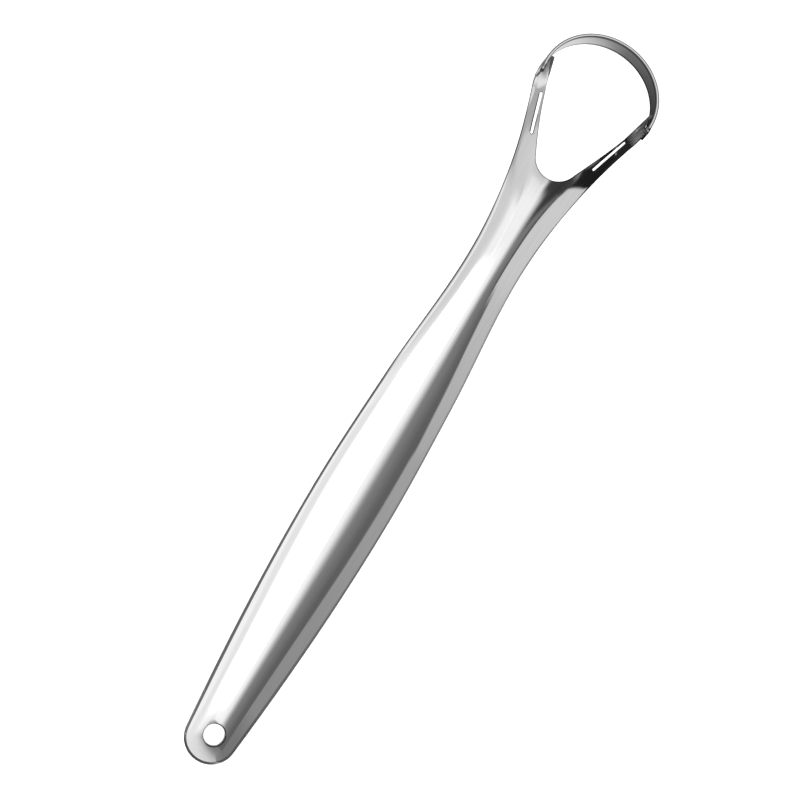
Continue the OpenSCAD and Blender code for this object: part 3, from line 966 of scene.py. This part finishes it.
def stand_card(name, size_x, size_y, place, fade_x, fade_y, axis, shades):
    """A card of the studio, in metres, that only mirrored rays meet."""
    halves = {"X": size_x / 2, "Y": size_y / 2}
    bm = bmesh.new()
    bmesh.ops.create_grid(bm, x_segments=1, y_segments=1, size=1)
    bmesh.ops.scale(bm, vec=(halves["X"], halves["Y"], 1), verts=bm.verts[:])
    card = finish_piece(bm, name, of_tool=False)
    card.matrix_world = place
    card.data.materials.append(card_cloth(name, halves, {"X": fade_x, "Y": fade_y}, axis, shades))
    card.visible_camera = False
    card.visible_diffuse = False
    card.visible_shadow = False


def far_card(name, polar, azimuth, reach, spread, fade_x, fade_y, shades, away=1):
    """A card away from the tool, shaded along X.

    reach and spread are its half angles, away from the camera's axis and round it. The fades are shares of
    its size.
    """
    size_x = 2 * away * math.tan(math.radians(reach))
    size_y = 2 * away * math.tan(math.radians(spread))
    stand_card(name, size_x, size_y, facing(polar, azimuth, away), [size_x * f for f in fade_x],
               [size_y * f for f in fade_y], "X", shades)


def flat_card(name, x, y, fade_x, fade_y, axis, shades, height=0.05):
    """A card that lies level, at a height over the floor. Places and fades are millimetres."""
    place = Matrix.Translation((sum(x) / 2 * MM, sum(y) / 2 * MM, FLOOR_Z + height * MM))
    stand_card(name, (x[1] - x[0]) * MM, (y[1] - y[0]) * MM, place, [f * MM for f in fade_x],
               [f * MM for f in fade_y], axis, shades)


def upright_card(name, start, end, height, fade_x, fade_y, axis, shades):
    """A card that stands on a line, whose start and end are x, y and height over the floor, in millimetres.

    Its X runs along that line and its Y up.
    """
    a, b = Vector(start) * MM, Vector(end) * MM
    x = (b - a).normalized()
    z = x.cross(Vector((0, 0, 1))).normalized()
    y = z.cross(x)
    centre = (a + b + y * height * MM) / 2 + Vector((0, 0, FLOOR_Z))
    place = Matrix.Translation(centre) @ Matrix((x, y, z)).transposed().to_4x4()
    stand_card(name, (b - a).length, height * MM, place, [f * MM for f in fade_x],
               [f * MM for f in fade_y], axis, shades)


def plain(tone):
    return [(0, tone), (1, tone)]


# Far away: a dark card on the camera's right, a darker one towards the fork, a light grey one past the band
far_card("dark_card", 41, -31, 33, 42, (0.4, 0.02), (0.3, 0.3),
         [(0, 0.3), (0.45, 0.21), (0.73, 0.13), (1, 0.11)])
far_card("darkest_card", 37, -5, 14, 12, (0.4, 0.2), (0.3, 0.3), [(0, 0.05), (1, 0.04)], away=0.9)
far_card("back_card", 28, 90, 18, 28, (0.3, 0.2), (0.3, 0.3), [(0, 0.84), (1, 0.75)])

# Right side: a low card beside the grip, higher ones beside the neck and the root, a near one for the light
# leaf on the root, and the floor that draws the right contour
upright_card("right_card", (24, -30, 0), (24, 66, 0), 15, (0, 4), (0, 2), "X",
             [(0, 0.4), (0.08, 0.26), (0.2, 0.19), (0.3, 0.2), (0.37, 0.28), (0.6, 0.31), (0.8, 0.36),
              (1, 0.4)])
upright_card("neck_card", (24.5, 58, -12), (24.5, 108, 0), 24, (0, 0), (0, 2), "X", [(0, 0.38), (1, 0.6)])
upright_card("root_card", (18, 93, 0), (18, 122.3, 0), 23.5, (6, 4), (0, 2.5), "X",
             [(0, 0.55), (0.3, 0.64), (1, 0.68)])
upright_card("leaf_card", (12, 115, 5), (12, 122.5, 5), 11.5, (3, 1), (1.5, 2), "X", plain(0.66))
flat_card("right_floor", (4, 24), (-30, 119.5), (0.5, 0), (0, 1), "Y",
          [(0, 0.1), (0.22, 0.1), (0.26, 0.14), (0.5, 0.18), (0.65, 0.24), (0.85, 0.38), (0.94, 0.22),
           (1, 0.07)])

# Left side: the grey strip beside the grip, the dark floor and low card that draw the left contour, and the
# cards beside the root and the arm
upright_card("left_strip", (-24, -20, 8), (-24, 104, 8), 12, (2, 12), (2, 8), "X",
             [(0, 0.88), (0.8, 0.86), (1, 0.7)])
upright_card("left_low_card", (-60, -60, 0), (-60, 119, 0), 3, (0, 0), (0, 1), "X", plain(0.15))
flat_card("left_floor", (-70, -7), (-50, 119), (2, 0.5), (2, 1), "X", plain(0.15))
upright_card("left_root_card", (-24, 80, -17), (-24, 128, 5), 31, (10, 0), (0, 12), "X",
             [(0, 0.74), (1, 0.66)])
upright_card("left_line_card", (-23.7, 76, 3), (-23.7, 116, 3.5), 5.5, (6, 4), (1, 2), "X",
             [(0, 1), (1, 0.95)])
upright_card("left_upper_card", (-24.5, 96, 0), (-24.5, 150, 0), 45, (6, 0), (0, 0), "X",
             [(0, 0.97), (0.3, 0.97), (0.37, 0.86), (0.42, 0.75), (0.48, 0.66), (1, 0.64)])
upright_card("left_arm_card", (-23.5, 112, 0), (-23.5, 182, 0), 45, (6, 0), (0, 0), "Y",
             [(0, 0.42), (0.3, 0.45), (0.38, 0.5), (0.5, 0.64), (1, 0.68)])

# Overhead: light over the root that falls off towards the fork, grey over the left arm, dark over the right
flat_card("over_root", (-24, 7), (78, 150), (0, 7), (28, 0), "Y",
          [(0, 0.97), (0.56, 0.97), (0.61, 0.92), (0.67, 0.83), (0.7, 0.7), (0.75, 0.54), (1, 0.54)],
          height=45)
flat_card("over_arm", (-24, -13), (115, 150), (0, 10), (10, 0), "Y", [(0, 0.72), (1, 0.64)], height=44)
flat_card("over_fork", (2, 28), (119, 142), (9, 4), (8, 4), "X", [(0, 0.2), (0.3, 0.05), (1, 0.03)],
          height=43)

# Behind the tail: light low at the left, dark high at the right, over a dark floor that runs on at its left
upright_card("tail_card", (-19, -25, -152), (104, -25, 2), 255, (0, 0), (0, 130), "X",
             [(0.45, 0.95), (0.62, 0.86), (0.69, 0.79), (0.725, 0.68), (0.755, 0.55), (0.785, 0.38),
              (0.82, 0.27), (0.9, 0.22)])
flat_card("tail_floor", (-7, 4), (-25, -3), (0, 0), (0, 0.5), "X", plain(0.08))
flat_card("tail_side_floor", (-7.3, -4.4), (-3.2, 34), (0.6, 0), (0, 5), "X", plain(0.15), height=0.1)

# Round the fork: black for the right arm, and a floor that darkens from left to right
upright_card("fork_flag", (40, 95, 0), (40, 142, 0), 50, (2, 2), (0, 3), "X", plain(0.012))
flat_card("fork_floor", (-60, 60), (119, 185), (10, 2), (2, 2), "X",
          [(0, 0.45), (0.25, 0.45), (0.3, 0.7), (0.36, 0.76), (0.38, 0.1), (0.395, 0.1), (0.4, 0.76),
           (0.45, 0.72), (0.475, 0.5), (0.495, 0.28), (0.51, 0.17), (0.54, 0.1), (0.57, 0.05), (0.6, 0.02)])
flat_card("fork_side_floor", (24, 110), (112, 119.5), (0, 20), (3, 0), "X", [(0, 0.05), (1, 0.03)])

# One big soft lamp above the tool's left side. Its sizes are metres, its directions degrees.
LAMP_RADIANCE = 1.12
LAMP_LENGTH, LAMP_WIDTH = 1.5, 0.5
LAMP_POLAR, LAMP_AZIMUTH, LAMP_AWAY = 27, 149, 1.35
lamp = bpy.data.lights.new("soft_lamp", "AREA")
lamp.shape = "RECTANGLE"
lamp.size, lamp.size_y = LAMP_LENGTH, LAMP_WIDTH
lamp.energy = LAMP_RADIANCE * math.pi * LAMP_LENGTH * LAMP_WIDTH
soft_lamp = bpy.data.objects.new("soft_lamp", lamp)
scene.collection.objects.link(soft_lamp)
soft_lamp.matrix_world = facing(LAMP_POLAR, LAMP_AZIMUTH, LAMP_AWAY) @ Matrix.Rotation(math.pi, 4, "X")
